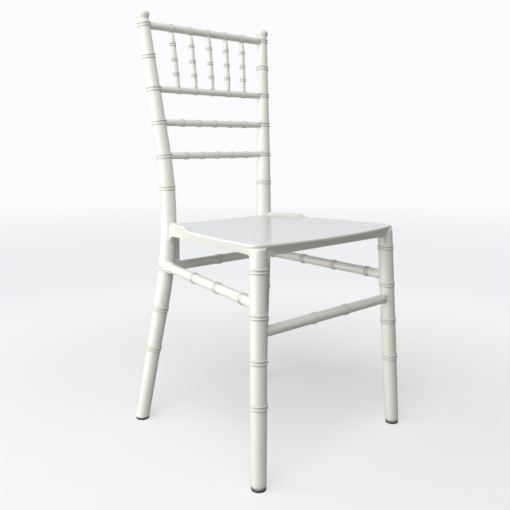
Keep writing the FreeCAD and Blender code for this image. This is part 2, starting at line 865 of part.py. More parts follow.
doc.recompute()
broken = [item.Name for item in doc.Objects
          if "Invalid" in item.State or "Error" in item.State]
for item in nodes:
    if item.Shape.isNull() or not item.Shape.isValid() or not item.Shape.Solids:
        broken.append(item.Label)
if broken:
    raise RuntimeError("failed objects: " + ", ".join(broken))

os.makedirs("parts", exist_ok=True)
for item in nodes:
    item.Shape.exportStep("parts/%s.step" % item.Label)
    print("%-22s %d solids %9.1f mm3" % (item.Label, len(item.Shape.Solids), item.Shape.Volume))
print("pieces: %d" % len(nodes))
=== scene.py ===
# %% [markdown]
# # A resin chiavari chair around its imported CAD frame
#
# The chair looks moulded in resin: sticks with the double rings of the traditional bamboo
# turning, joined round end into round socket, and a thin seat panel on four aprons. How its
# maker joins them can't be seen. The CAD frame carries every member at its place with plain
# faces. This scene keeps those places and gives the members their moulded look. Where it
# departs from the CAD: the back of the seat is flat between raised shoulders, not stepped,
# so the rear apron is lower; the rear posts' webs stand further back; and what is hidden
# (stick ends, tabs, glide stems) is shorter or left out.
# Lengths are metres, +Z is up and the front edge of the seat faces -Y.

# %% Set-up
import math
import bpy
import numpy as np
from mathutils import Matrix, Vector
from mathutils.geometry import delaunay_2d_cdt

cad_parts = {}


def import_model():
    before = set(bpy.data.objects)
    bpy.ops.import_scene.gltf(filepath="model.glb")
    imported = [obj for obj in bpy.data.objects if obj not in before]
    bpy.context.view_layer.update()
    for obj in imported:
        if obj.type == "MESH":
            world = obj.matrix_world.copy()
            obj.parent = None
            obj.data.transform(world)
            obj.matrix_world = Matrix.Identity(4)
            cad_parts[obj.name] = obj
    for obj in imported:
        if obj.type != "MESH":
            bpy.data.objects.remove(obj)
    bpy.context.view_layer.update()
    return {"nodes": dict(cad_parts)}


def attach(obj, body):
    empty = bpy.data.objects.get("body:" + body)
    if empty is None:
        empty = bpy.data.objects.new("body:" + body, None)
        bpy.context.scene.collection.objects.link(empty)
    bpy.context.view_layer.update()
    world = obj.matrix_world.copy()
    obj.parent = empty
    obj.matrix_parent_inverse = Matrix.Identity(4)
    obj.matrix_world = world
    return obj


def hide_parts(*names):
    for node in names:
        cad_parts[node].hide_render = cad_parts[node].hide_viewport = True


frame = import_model()

# %% [markdown]
# ## Sizes
# A member is drawn from a few numbers: where its axis runs, its diameters and where its
# rings are. They repeat the CAD source's driving sizes, because the frame's meshes don't
# carry them. Heights of rings and rails are above the floor.

# %% Sizes
MM = 0.001
CHAIR_HEIGHT = 920 * MM
SEAT_TOP = 447 * MM
SEAT_RISE = 7 * MM
SEAT_THICKNESS = 6 * MM
SEAT_UNDER = SEAT_TOP - SEAT_THICKNESS
BEND = np.array([140, 144.5, 450]) * MM
LEG_FOOT = np.array([208, -199.5, 0]) * MM
LEG_TOP = np.array([194.5, -183.5, 441]) * MM
RAIL_HEIGHTS = {"top_rail": 890 * MM, "spindle_rail": 749 * MM, "middle_rail": 674.5 * MM,
                "lower_rail": 600 * MM}
FRONT_STRETCHER_HEIGHT = 284 * MM
REAR_STRETCHER_HEIGHT = 350 * MM
SIDE_STRETCHER_HEIGHTS = (353 * MM, 335 * MM)
GLIDE_HEIGHT = 5 * MM
SIDES = {"left": -1, "right": 1}
UP = np.array([0.0, 0.0, 1.0])
ACROSS = np.array([1.0, 0.0, 0.0])

# %% [markdown]
# ## Surfaces
# Every round member is one surface: circles square to a path, with a radius that is a
# function of the distance along it. A lathe modifier could turn a straight one, but the
# rear posts are bent, so both kinds use the same sweep. Its UV map holds the turn round the
# stick and the distance along it, and the moulding lines of the finish follow that map.

# %% Shells and meshes
AROUND = 60
made = {}


def unit(vector):
    return vector / np.linalg.norm(vector)


def smooth_step(t):
    """3t^2 - 2t^3 between 0 and 1."""
    t = np.clip(t, 0, 1)
    return t * t * (3 - 2 * t)


def grid_faces(rows, columns):
    """Corner numbers of the quads between rows of points, the last column joined to the first."""
    row, column = np.meshgrid(np.arange(rows - 1), np.arange(columns), indexing="ij")
    near, far = row * columns, (row + 1) * columns
    after = (column + 1) % columns
    return np.stack([near + column, near + after, far + after, far + column], -1).reshape(-1, 4)


def new_mesh(name, *shells):
    """One object from closed shells. A shell has points, faces, UVs for its first faces, and marks, a
    mask that blends in painted shade.
    """
    points, faces, uvs, marks, count = [], [], [], [], 0
    for shell in shells:
        corners = sum(len(face) for face in shell["faces"])
        flat = np.zeros((corners, 2))
        flat[:len(shell["uvs"])] = shell["uvs"]
        uvs.append(flat)
        faces += [[corner + count for corner in face] for face in shell["faces"]]
        points.append(shell["points"])
        marks.append(shell.get("marks", np.zeros(len(shell["points"]))))
        count += len(shell["points"])
    mesh = bpy.data.meshes.new(name)
    mesh.from_pydata(np.concatenate(points).tolist(), [], faces)
    layer = mesh.uv_layers.new(name="length")
    layer.data.foreach_set("uv", np.concatenate(uvs).ravel())
    mesh.attributes.new("marks", "FLOAT", "POINT").data.foreach_set("value", np.concatenate(marks))
    mesh.shade_smooth()
    obj = bpy.data.objects.new(name, mesh)
    bpy.context.collection.objects.link(obj)
    made[name] = obj
    return obj


def tube(centres, side_axis, radii, level_low=0.0, level_high=0.0, marks=0.0):
    """P(s, a) = C(s) + r(s) (A cos a + B sin a), with A the side axis and B square to it and the path.

    Within level_low or level_high of an end, points slide along the path until the end's
    circle lies flat, so that a leaning stick meets the floor or the seat squarely.
    """
    tangents = np.gradient(centres, axis=0)
    tangents /= np.linalg.norm(tangents, axis=1)[:, None]
    first = side_axis - tangents * (tangents @ side_axis)[:, None]
    first /= np.linalg.norm(first, axis=1)[:, None]
    second = np.cross(tangents, first)
    angles = np.linspace(0, 2 * np.pi, AROUND, endpoint=False)
    spokes = (first[:, None, :] * np.cos(angles)[None, :, None]
              + second[:, None, :] * np.sin(angles)[None, :, None]) * radii[:, None, None]
    steps = np.linalg.norm(np.diff(centres, axis=0), axis=1)
    lengths = np.concatenate([[0], np.cumsum(steps)])
    flat = np.zeros(len(centres))
    if level_low:
        flat += 1 - smooth_step(lengths / level_low)
    if level_high:
        flat += 1 - smooth_step((lengths[-1] - lengths) / level_high)
    slide = spokes[:, :, 2] / tangents[:, 2:3] * flat[:, None] if flat.any() else 0 * spokes[:, :, 2]
    points = centres[:, None, :] + spokes - tangents[:, None, :] * slide[:, :, None]
    rows = len(centres)
    column = np.tile(np.arange(AROUND), rows - 1)
    row = np.repeat(np.arange(rows - 1), AROUND)
    turn = np.stack([column, column + 1, column + 1, column], 1) / AROUND
    along = np.stack([lengths[row], lengths[row], lengths[row + 1], lengths[row + 1]], 1)
    ends = [list(range(AROUND))[::-1], list(range((rows - 1) * AROUND, rows * AROUND))]
    return {"points": points.reshape(-1, 3), "faces": grid_faces(rows, AROUND).tolist() + ends,
            "uvs": np.stack([turn, along], -1).reshape(-1, 2),
            "marks": np.repeat(np.zeros(rows) + marks, AROUND)}


# %% [markdown]
# ## Double rings
# The rings of turned bamboo are what makes a chiavari chair. Each is a pair of thin beads,
# like two wires laid round the stick, with a flat stretch between them. A bead's section is
# half an ellipse, because its upright foot catches the dark line that sets it off. A painted
# shade, a darker colour in the crease at each foot, deepens that line.

# %% Ring profile
POST_RING = (6.4 * MM, 3.6 * MM, 1.9 * MM)
RAIL_RING = (6.5 * MM, 3.3 * MM, 1.6 * MM)
SPINDLE_RING = (5.0 * MM, 2.8 * MM, 1.4 * MM)
STRETCHER_RING = (6.4 * MM, 3.3 * MM, 1.6 * MM)
# Width of the painted shade in the creases at the feet of the beads.
CREASE_SHADE_WIDTH = 0.8 * MM


def beads(s, middle, spacing, width, rise):
    """rise * sqrt(1 - t^2), with t from -1 to 1 over each of the two beads, spacing apart."""
    t = (np.abs(s - middle) - spacing / 2) / (width / 2)
    return rise * np.sqrt(np.maximum(1 - t ** 2, 0))


def painted_crease_shade(s, rings, ring):
    """Painted crease shade, exp(-(d / c)^2), with d the distance to the nearest foot of a bead and c the
    crease's width.
    """
    spacing, width, _ = ring
    bead_side, foot_side = np.array([-1, -1, 1, 1]), np.array([-1, 1, -1, 1])
    feet = np.concatenate([middle + bead_side * spacing / 2 + foot_side * width / 2
                           for middle in rings])
    away = np.min(np.abs(s[:, None] - feet[None, :]), axis=1)
    return np.exp(-(away / CREASE_SHADE_WIDTH) ** 2)


def stations(length, rings, ring, step=6 * MM):
    """Distances along a stick, close together on the beads and sparse between them.

    Known fault: where a length rounds up, its last distance is lost and the stick ends up to
    one step short. Eight sticks stop just before the piece that they should enter.
    """
    spacing, width, _ = ring
    bead = width / 2 * np.sin(np.linspace(-np.pi / 2, np.pi / 2, 13))
    bead = np.concatenate([bead, bead[[0, 0, -1, -1]] + np.array([-2, -1, 1, 2]) * CREASE_SHADE_WIDTH])
    marks = [np.linspace(0, length, max(int(length / step), 2))]
    for middle in rings:
        marks += [middle - spacing / 2 + bead, middle + spacing / 2 + bead]
    marks = np.unique(np.round(np.concatenate(marks), 6))
    return marks[(marks >= 0) & (marks <= length)]


def stick(start, end, side_axis, radius, rings=(), ring=POST_RING, level_low=0.0, level_high=0.0):
    """Straight round member. radius is a function of the distance along it."""
    length = np.linalg.norm(end - start)
    s = stations(length, rings, ring)
    radii = radius(s) + np.zeros(len(s))
    for middle in rings:
        radii = radii + beads(s, middle, *ring)
    centres = start + np.outer(s / length, end - start)
    return tube(centres, side_axis, radii, level_low, level_high, painted_crease_shade(s, rings, ring))


def between_rows(table):
    """Half the diameter that a table of heights and diameters gives, straight between its rows."""
    heights = np.array(sorted(table)) * MM
    halves = np.array([table[key] for key in sorted(table)]) * MM / 2
    return lambda z: np.interp(z, heights, halves)


# %% [markdown]
# ## Rear posts
# Each rear post is one long moulding from the glide to the finial. Its axis lies in an
# upright plane turned outwards, and in that plane it runs straight, then on a wide arc at
# seat height, then straight again. Written as an outset u for each height z, the arc is
# u(z) = u_c - sqrt(R^2 - (z - z_c)^2), and that keeps the bend smooth in every view.

# %% Rear post path
POST_PLANE = math.radians(51.3)
POST_TOP_OUTSET = 70 * MM
POST_FOOT_OUTSET = 79 * MM
POST_BEND_RADIUS = 1050 * MM


class PostPath:
    """Straight, arc, straight. Both straight runs lean outwards from the bend at seat height."""

    def __init__(self):
        self.low_slope = POST_FOOT_OUTSET / BEND[2]
        self.high_slope = POST_TOP_OUTSET / (CHAIR_HEIGHT - BEND[2])
        low, high = math.atan(self.low_slope), math.atan(self.high_slope)
        tangent = POST_BEND_RADIUS * math.tan((low + high) / 2)
        self.arc_low = BEND[2] - tangent * math.cos(low)
        self.arc_high = BEND[2] + tangent * math.cos(high)
        self.centre_u = tangent * math.sin(low) + POST_BEND_RADIUS * math.cos(low)
        self.centre_z = self.arc_low + POST_BEND_RADIUS * math.sin(low)

    def outset(self, z):
        depth = np.maximum(POST_BEND_RADIUS ** 2 - (z - self.centre_z) ** 2, 0)
        arc = self.centre_u - np.sqrt(depth)
        low = (BEND[2] - z) * self.low_slope
        high = (z - BEND[2]) * self.high_slope
        return np.where(z < self.arc_low, low, np.where(z > self.arc_high, high, arc))

    def point(self, z, side=1):
        z = np.asarray(z, float)
        u = self.outset(z)
        x = side * (BEND[0] + u * math.cos(POST_PLANE))
        return np.stack([x, BEND[1] + u * math.sin(POST_PLANE), z], -1)


post_path = PostPath()
post_radius = between_rows({0: 30.0, 140: 30.6, 230: 33.6, 300: 35.6, 450: 35.5, 560: 33.6,
                            700: 30.4, 880: 25.8, 920: 25.2})
print("bend from", round(post_path.arc_low, 3), "to", round(post_path.arc_high, 3))

# %% [markdown]
# The finial closes the top: a short neck, then a cap whose upper half is a superellipse,
# r = c (1 - t^2.4)^(1/2.2), flatter than a ball. The side carries two small parts of the
# same moulding, the stub with the collar that the side stretcher enters, and the flat web
# that stiffens the corner under the rear apron. They are shells of the same object.

# %% Rear posts
POST_RINGS = np.array([890, 820, 749, 674.5, 600, 530, 350, 258, 166]) * MM
FINIAL_LENGTH = 21 * MM
FINIAL_RADIUS = 15.5 * MM
FINIAL_CAP_SHARE = 0.42
NECK_STEP = 0.8 * MM
FOOT_ROUNDING = 1.5 * MM
LEVEL_RUN = 30 * MM
STUB_LENGTH = 20 * MM
STUB_ROOT_RISE = 2.2 * MM
STUB_ROOT_SHARE = 0.6
COLLAR_RADIUS = 11.5 * MM
COLLAR_LIP = 0.8 * MM
SOCKET_DEPTH = 6 * MM


def finial_radius(z):
    """Smooth step from the neck to the widest place, then the superellipse above."""
    base, widest = CHAIR_HEIGHT - FINIAL_LENGTH, CHAIR_HEIGHT - FINIAL_CAP_SHARE * FINIAL_LENGTH
    neck = post_radius(base) - NECK_STEP
    swell = neck + (FINIAL_RADIUS - neck) * smooth_step((z - base) / (widest - base))
    t = np.clip((z - widest) / (CHAIR_HEIGHT - widest), 0, 0.9995)
    return np.where(z > widest, FINIAL_RADIUS * (1 - t ** 2.4) ** (1 / 2.2), swell)


def rounded_foot(radius, height, rounding=FOOT_ROUNDING):
    """Radius drawn in on a quarter circle over the last of the height."""
    share = np.clip(height / rounding, 0, 1)
    return radius - rounding * (1 - np.sqrt(share * (2 - share)))


def post_shell(side):
    base = CHAIR_HEIGHT - FINIAL_LENGTH
    shaft = GLIDE_HEIGHT + stations(base - GLIDE_HEIGHT, POST_RINGS - GLIDE_HEIGHT, POST_RING)
    foot = GLIDE_HEIGHT + np.linspace(0, FOOT_ROUNDING, 6)
    cap = base + FINIAL_LENGTH * np.sin(np.linspace(0, np.pi / 2, 44))
    z = np.unique(np.round(np.concatenate([shaft, foot, cap]), 6))
    radii = np.where(z > base, finial_radius(z), rounded_foot(post_radius(z), z - GLIDE_HEIGHT))
    for middle in POST_RINGS:
        radii = radii + beads(z, middle, *POST_RING)
    plane = np.array([side * math.cos(POST_PLANE), math.sin(POST_PLANE), 0])
    return tube(post_path.point(z, side), plane, radii, level_low=LEVEL_RUN,
                marks=painted_crease_shade(z, POST_RINGS, POST_RING))


def leg_point(z, side=1):
    share = (z - LEG_FOOT[2]) / (LEG_TOP[2] - LEG_FOOT[2])
    return (LEG_FOOT + (LEG_TOP - LEG_FOOT) * share) * np.array([side, 1, 1])


side_rear = {name: post_path.point(SIDE_STRETCHER_HEIGHTS[0], side) for name, side in SIDES.items()}
side_front = {name: leg_point(SIDE_STRETCHER_HEIGHTS[1], side) for name, side in SIDES.items()}
stub_end = post_radius(SIDE_STRETCHER_HEIGHTS[0]) + STUB_LENGTH


def stub_shell(name):
    """Root drawn out of the post on a soft cone, a plain collar, and a lip turned in at its end."""
    start, toward = side_rear[name], unit(side_front[name] - side_rear[name])
    surface = stub_end - STUB_LENGTH
    s = np.unique(np.concatenate([np.linspace(0, stub_end - COLLAR_LIP, 30),
                                  stub_end - COLLAR_LIP * np.cos(np.linspace(0, np.pi / 2, 6))]))
    root = STUB_ROOT_RISE * (1 - smooth_step((s - surface) / (STUB_ROOT_SHARE * STUB_LENGTH)))
    past = np.maximum(s - stub_end + COLLAR_LIP, 0)
    lip = COLLAR_LIP - np.sqrt(np.maximum(COLLAR_LIP ** 2 - past ** 2, 0))
    return tube(start + np.outer(s, toward), UP, COLLAR_RADIUS + root - lip)


# %% [markdown]
# ## Plates
# The seat panel, the aprons and the web are flat mouldings with softly rounded rims. A
# Bevel modifier would round them too, but it needs clean corners, and the seat's outline
# wraps round both posts. So the rim is worked out: the outline moves inwards by
# r (1 - cos a) while its height goes h - r + r sin a, on both faces. A constrained
# triangulation closes each face, with inner points where the face is not flat.

# %% Plates
def inward(outline):
    """Unit normals of a closed outline that runs anticlockwise, from central differences."""
    along = np.roll(outline, -1, axis=0) - np.roll(outline, 1, axis=0)
    normals = np.stack([-along[:, 1], along[:, 0]], 1)
    return normals / np.linalg.norm(normals, axis=1)[:, None]


def softened(outline, spread):
    """Closed outline smoothed by a Gaussian of the given spread, through its Fourier terms."""
    spacing = np.mean(np.linalg.norm(np.roll(outline, -1, axis=0) - outline, axis=1))
    terms = np.fft.fft(outline[:, 0] + 1j * outline[:, 1])
    waves = 2 * np.pi * np.fft.fftfreq(len(outline)) / spacing
    smooth = np.fft.ifft(terms * np.exp(-(waves * spread) ** 2 / 2))
    return np.stack([smooth.real, smooth.imag], 1)


def resampled(corners, spacing):
    """Points at an even spacing along a closed chain of corners."""
    chain = np.concatenate([corners, corners[:1]])
    lengths = np.concatenate([[0], np.cumsum(np.linalg.norm(np.diff(chain, axis=0), axis=1))])
    marks = np.linspace(0, lengths[-1], int(lengths[-1] / spacing), endpoint=False)
    return np.stack([np.interp(marks, lengths, chain[:, axis]) for axis in (0, 1)], 1)


def room_inside(outline, rounding):
    """Share of the rounding that fits at each point: less where the outline turns tightly."""
    before, after = outline - np.roll(outline, 1, axis=0), np.roll(outline, -1, axis=0) - outline
    cross = before[:, 0] * after[:, 1] - before[:, 1] * after[:, 0]
    curvature = np.arctan2(cross, (before * after).sum(axis=1)) / np.linalg.norm(after, axis=1)
    share = np.clip(0.55 / (rounding * np.maximum(curvature, 1)), 0.2, 1)
    share = np.min([np.roll(share, step) for step in range(-8, 9)], axis=0)
    return np.mean([np.roll(share, step) for step in range(-5, 6)], axis=0)


def plate(outline, half, rounding, place, inner=()):
    """Closed plate. place turns (p, q) in the outline's plane and w across it into (x, y, z)."""
    angles = np.linspace(np.pi / 2, 0, 6)
    insets = rounding * (1 - np.cos(angles))
    heights = half - rounding + rounding * np.sin(angles)
    insets, heights = np.r_[insets, insets[::-1]], np.r_[heights, -heights[::-1]]
    normals, count = inward(outline) * room_inside(outline, rounding)[:, None], len(outline)
    rows = [outline + normals * inset for inset in insets]
    face_points = np.concatenate([rows[0], np.reshape(inner, (-1, 2))])
    loop = [(index, (index + 1) % count) for index in range(count)]
    found = delaunay_2d_cdt([Vector(point) for point in face_points], loop, [], 1, 1e-7)
    origins = [sources[0] for sources in found[3]]
    top = np.array([[origins[corner] for corner in face] for face in found[2]])
    first, second = (face_points[top[:, k]] - face_points[top[:, 0]] for k in (1, 2))
    backwards = first[:, 0] * second[:, 1] < first[:, 1] * second[:, 0]
    top[backwards] = top[backwards][:, ::-1]
    rims = len(rows) * count
    extra = len(face_points) - count
    bottom = np.where(top < count, top + rims - count, top - count + rims + extra)[:, ::-1]
    top = np.where(top < count, top, top - count + rims)
    flat = np.concatenate(rows + [face_points[count:]] * 2)
    across = np.concatenate([np.repeat(heights, count), np.full(extra, half), np.full(extra, -half)])
    faces = grid_faces(len(rows), count)[:, ::-1].tolist() + top.tolist() + bottom.tolist()
    return {"points": place(flat[:, 0], flat[:, 1], across), "faces": faces, "uvs": np.zeros((0, 2))}


# %% [markdown]
# The web hangs from the rear apron's level down to the rear stretcher, and its flat end is
# sunk in the post. With it the two rear posts are complete.

# %% Posts with stub and web
APRON_LOW = SEAT_UNDER - 17 * MM
FLARE_LOW = APRON_LOW - 12 * MM
WEB_INNER_X = 123 * MM
WEB_HALF = 4 * MM
WEB_Y = 152 * MM


def web_shell(side):
    outer = post_path.point(REAR_STRETCHER_HEIGHT)[0]
    corners = np.array([(WEB_INNER_X, REAR_STRETCHER_HEIGHT), (outer, REAR_STRETCHER_HEIGHT),
                        (outer, APRON_LOW + 6 * MM), (WEB_INNER_X, APRON_LOW + 6 * MM)])
    outline = softened(resampled(corners, 1 * MM), 1 * MM)

    def place(x, z, w):
        return np.stack([side * x, WEB_Y - side * w, z], 1)

    return plate(outline, WEB_HALF, 1.2 * MM, place)


for name, side in SIDES.items():
    new_mesh("post_" + name, post_shell(side), stub_shell(name), web_shell(side))
print("post", len(made["post_left"].data.polygons), "faces")

# %% [markdown]
# ## Front legs
# Straight, splayed outwards and forwards, with four double rings each. Both ends are
# levelled: the foot stands on its glide and the top meets the seat panel.

# %% Front legs
LEG_RINGS = np.array([398, 316, 234, 152]) * MM
leg_radius = between_rows({0: 28.5, 120: 31.0, 441: 32.5})

for name, side in SIDES.items():
    low, high = leg_point(GLIDE_HEIGHT, side), leg_point(LEG_TOP[2] - 0.5 * MM, side)
    slant = np.linalg.norm(high - low) / (high[2] - low[2])

    def radius(s):
        return rounded_foot(leg_radius(GLIDE_HEIGHT + s / slant), s / slant)

    new_mesh("leg_" + name, stick(low, high, np.array([side, 0, 0.0]), radius,
                                  (LEG_RINGS - GLIDE_HEIGHT) * slant, level_low=LEVEL_RUN,
                                  level_high=LEVEL_RUN))
print("leg", len(made["leg_left"].data.polygons), "faces")

# %% [markdown]
# ## Back rails and spindles
# Four rails cross the back and enter the posts. Their rings stand on the same fan of lines
# as the spindles, at shares of the distance between the posts. A spindle has slim ends, as
# turned ones do, and swells to its first ring.

# %% Back rails
FAN_SHARE = 0.30
FAN_STEPS = (-2, -1, 0, 1, 2)
RAIL_RADII = {"top_rail": 8.5 * MM, "spindle_rail": 7.5 * MM, "middle_rail": 7.5 * MM,
              "lower_rail": 7.5 * MM}
SUNK = 5 * MM


def cross_stick(z, y, half, radius, rings, ring):
    """Level round member through the middle of the chair, with rings at the given x."""
    start, end = np.array([-half, y, z]), np.array([half, y, z])
    return stick(start, end, UP, lambda s: radius, [half + x for x in rings], ring)


for name, height in RAIL_HEIGHTS.items():
    centre = post_path.point(height)
    half = centre[0] - post_radius(height) + SUNK
    rings = [FAN_SHARE * centre[0] * step for step in FAN_STEPS]
    new_mesh("ringed_" + name, cross_stick(height, centre[1], half, RAIL_RADII[name], rings, RAIL_RING))

# %% Spindles
SPINDLE_END_RADIUS = 5.2 * MM
SPINDLE_RADIUS = 6.5 * MM
SPINDLE_RING_SHARES = (0.242, 0.493, 0.760)
SPINDLE_SWELL = 0.22

upper_middle = post_path.point(RAIL_HEIGHTS["top_rail"])
lower_middle = post_path.point(RAIL_HEIGHTS["spindle_rail"])
for number, step in enumerate(FAN_STEPS, start=1):
    shrink = np.array([step * FAN_SHARE, 1, 1])
    low, high = lower_middle * shrink, upper_middle * shrink
    start, end = low + unit(high - low) * SUNK, high - unit(high - low) * SUNK
    length = np.linalg.norm(end - start)

    def radius(s):
        near = np.minimum(s, length - s) / length
        swell = smooth_step(near / SPINDLE_SWELL)
        return SPINDLE_END_RADIUS + (SPINDLE_RADIUS - SPINDLE_END_RADIUS) * swell

    rings = [share * length for share in SPINDLE_RING_SHARES]
    new_mesh("ringed_spindle_%d" % number, stick(start, end, ACROSS, radius, rings, SPINDLE_RING))
print("rail", len(made["ringed_top_rail"].data.polygons), "faces")

# %% [markdown]
# ## Seat panel
# A thin panel with a flat top, a bowed front and bulging sides. Beside each rear post its
# rim climbs to a raised shoulder on a short S. The photograph shows the shoulder at the near
# post only, and the far one mirrors it. The plan is drawn as one closed chain and softened
# twice: widely for the two front corners and finely for the ears at the posts. A
# side's half width is w(t) = e + (c - e) sin(pi t / 2)^0.8, with t from the ear, e, to the
# corner, c. The shoulder's height is a smooth step along the seat times one across its rim.

# %% Seat panel
STEP_START, STEP_END = 36 * MM, 62 * MM
SHOULDER_WIDTH, SHOULDER_FALL = 12 * MM, 14 * MM
SEAT_CORNER = np.array([214, -193]) * MM
SEAT_EAR = np.array([163, 119]) * MM
SEAT_REAR_Y = 152 * MM
SEAT_BOW = 26 * MM
SIDE_POWER = 0.8
NOTCH_START = math.radians(-75)
FRONT_SOFTNESS, REAR_SOFTNESS = 10 * MM, 1.9 * MM
SEAM = 0.5 * MM
RIM_ROUNDING = 2.3 * MM


def side_width(y):
    """Half width of the seat at y, by the formula above. Beyond the ear it stays the ear's."""
    t = np.clip((SEAT_EAR[1] - y) / (SEAT_EAR[1] - SEAT_CORNER[1]), 0, 1)
    return SEAT_EAR[0] + (SEAT_CORNER[0] - SEAT_EAR[0]) * np.sin(np.pi / 2 * t) ** SIDE_POWER


def step_height(y):
    """A smooth step along the seat, from its flat top to the height of the shoulders."""
    return SEAT_RISE * smooth_step((y - STEP_START) / (STEP_END - STEP_START))


def shoulder_height(x, y):
    """The step along the seat times a smooth fall inwards from its side edge."""
    from_edge = side_width(y) - np.abs(x)
    return step_height(y) * (1 - smooth_step((from_edge - SHOULDER_WIDTH) / SHOULDER_FALL))


def seat_outline():
    """Right half from the front middle round the ear to the rear middle, then the same mirrored."""
    share = np.linspace(0, 1, 60)
    bow = np.stack([share * SEAT_CORNER[0], SEAT_CORNER[1] - SEAT_BOW * (1 - share ** 2)], 1)
    y = np.linspace(SEAT_CORNER[1], SEAT_EAR[1], 60)
    edge = np.stack([side_width(y), y], 1)
    centre, notch = post_path.point(SEAT_TOP)[:2], post_radius(SEAT_TOP) + SEAM
    angles = np.linspace(NOTCH_START, -math.pi - math.asin((SEAT_REAR_Y - centre[1]) / notch), 60)
    ear = centre + notch * np.stack([np.cos(angles), np.sin(angles)], 1)
    right = np.concatenate([bow, edge[1:], ear])
    left = right[::-1] * [-1, 1]
    points = resampled(np.concatenate([right, left[:-1]]), 1 * MM)
    wide, fine = softened(points, FRONT_SOFTNESS), softened(points, REAR_SOFTNESS)
    front = smooth_step((-130 * MM - points[:, 1:]) / (30 * MM))
    return fine + (wide - fine) * front


def inside(points, outline):
    """Even-odd test: how many edges of the outline a ray along +p crosses."""
    start, end = outline, np.roll(outline, -1, axis=0)
    p, q = points[:, :1], points[:, 1:]
    spans = (start[:, 1] > q) != (end[:, 1] > q)
    rise = np.where(end[:, 1] == start[:, 1], 1, end[:, 1] - start[:, 1])
    crossing = start[:, 0] + (q - start[:, 1]) / rise * (end[:, 0] - start[:, 0])
    return (spans & (p < crossing)).sum(axis=1) % 2 == 1


def seat_place(x, y, w):
    return np.stack([x, y, SEAT_TOP - SEAT_THICKNESS / 2 + shoulder_height(x, y) + w], 1)


def net_points(low, high, spacing):
    """Square net of points between two corners."""
    spans = [np.arange(low[k], high[k], spacing) for k in (0, 1)]
    return np.stack(np.meshgrid(*spans), -1).reshape(-1, 2)


outline = seat_outline()
coarse = net_points((-0.212, -0.22), (0.212, 0.15), 7 * MM)
fine = net_points((0.126, 0.03), (0.190, 0.15), 2.2 * MM)
coarse = coarse[(np.abs(coarse[:, 0]) < 0.124) | (coarse[:, 1] < 0.028)]
net = np.concatenate([coarse, fine, fine * [-1, 1]])
gaps = np.min(np.linalg.norm(net[:, None, :] - outline[None, ::3, :], axis=2), axis=1)
net = net[inside(net, outline) & (gaps > 3.4 * MM)]
panel = plate(outline, SEAT_THICKNESS / 2, RIM_ROUNDING, seat_place, net)
# The rim and shoulders get the warm resin colour, and the rest of the top keeps the seat's painted shade
# and reflection.
x, y, _ = panel["points"].T
rim = np.arange(len(x)) < len(x) - 2 * len(net)
panel["marks"] = np.maximum(rim, smooth_step(2 * shoulder_height(x, y) / SEAT_RISE))
new_mesh("seat", panel)
print("seat", len(made["seat"].data.polygons), "faces")

# %% [markdown]
# ## Aprons
# Four boards carry the seat between posts and legs. Each is 14 mm thick, and near its ends
# its lower edge drops on a quarter circle to spread the load into the upright. A side
# apron's upper edge follows the underside of the seat and its shoulder, and its rear end
# follows the round post and leaves the dark seam that the photograph shows.

# %% Aprons
APRON_HALF = 7 * MM
FLARE = 12 * MM
FRONT_APRON_Y = -188.5 * MM
APRON_SEAM = 1.3 * MM
APRON_ROUNDING = 1.2 * MM
SEATED = 1 * MM


def apron_outline(start, end, top, reach):
    """Board from start to end, its lower edge dropped on quarter circles, reach in from its ends."""
    turn = np.linspace(0, np.pi / 2, 16)
    curve = np.stack([FLARE * (1 - np.cos(turn)), FLARE * np.sin(turn)], 1)
    first = [start + reach, FLARE_LOW] + curve
    last = ([end - reach, FLARE_LOW] + curve * [-1, 1])[::-1]
    along = np.linspace(end, start, 80)
    upper = np.stack([along, top(along)], 1)
    corners = np.concatenate([[[start, FLARE_LOW]], first, last, [[end, FLARE_LOW]], upper])
    return resampled(corners, 1.2 * MM)


def cross_apron(name, y, inner, buried):
    """Straight board between two uprights, its ends buried past their inner faces."""
    end = inner + buried
    outline = softened(apron_outline(-end, end, lambda x: SEAT_UNDER + SEATED + 0 * x, buried), 0.6 * MM)

    def place(x, z, w):
        return np.stack([x, y - w, z], 1)

    new_mesh(name, plate(outline, APRON_HALF, APRON_ROUNDING, place))


cross_apron("apron_front", FRONT_APRON_Y, LEG_TOP[0] - leg_radius(SEAT_UNDER), 8 * MM)
cross_apron("apron_rear", BEND[1], post_path.point(APRON_LOW)[0] - post_radius(APRON_LOW), 15 * MM)


def side_apron(name, side):
    middle = (SEAT_UNDER + APRON_LOW) / 2
    rear, front = post_path.point(middle, side), leg_point(middle, side)
    toward = unit((front - rear) * [1, 1, 0])
    beside = np.array([toward[1], -toward[0], 0])
    span = np.linalg.norm((front - rear)[:2])
    start = post_radius(middle) + APRON_SEAM
    end = span - leg_radius(middle) + 3 * MM

    def top(along):
        return SEAT_UNDER + step_height(rear[1] + along * toward[1])

    def place(along, z, w):
        near = 1 - smooth_step((along - start) / (20 * MM))
        round_post = np.sqrt(start ** 2 - w ** 2) - start
        lean = (post_path.point(z, side) - rear) @ toward
        moved = along + near * (round_post + lean)
        flat = rear * [1, 1, 0] + np.outer(moved, toward) + np.outer(w, beside)
        under_seat = SEAT_UNDER + shoulder_height(flat[:, 0], flat[:, 1]) + SEATED
        return flat + np.outer(np.minimum(z, under_seat), UP)

    outline = softened(apron_outline(start, end, top, 1.5 * MM), 0.6 * MM)
    new_mesh("apron_" + name, plate(outline, APRON_HALF, APRON_ROUNDING, place))


for name, side in SIDES.items():
    side_apron(name, side)
print("apron", len(made["apron_left"].data.polygons), "faces")

# %% [markdown]
# ## Stretchers
# Straight sticks with slimmer rings than the posts. The side stretchers start in the stub's
# collar, fall a little towards the front and swell where they enter the front leg.

# %% Stretchers
STRETCHER_RADIUS = 10 * MM
REAR_EXTRA_RADIUS = 0.5 * MM
FRONT_RINGS = np.array([-50, 50]) * MM
SIDE_RING_START = 88 * MM
SIDE_RING_PITCH = 88 * MM
FRONT_SWELL = 1.6 * MM
SWELL_LENGTH = 16 * MM

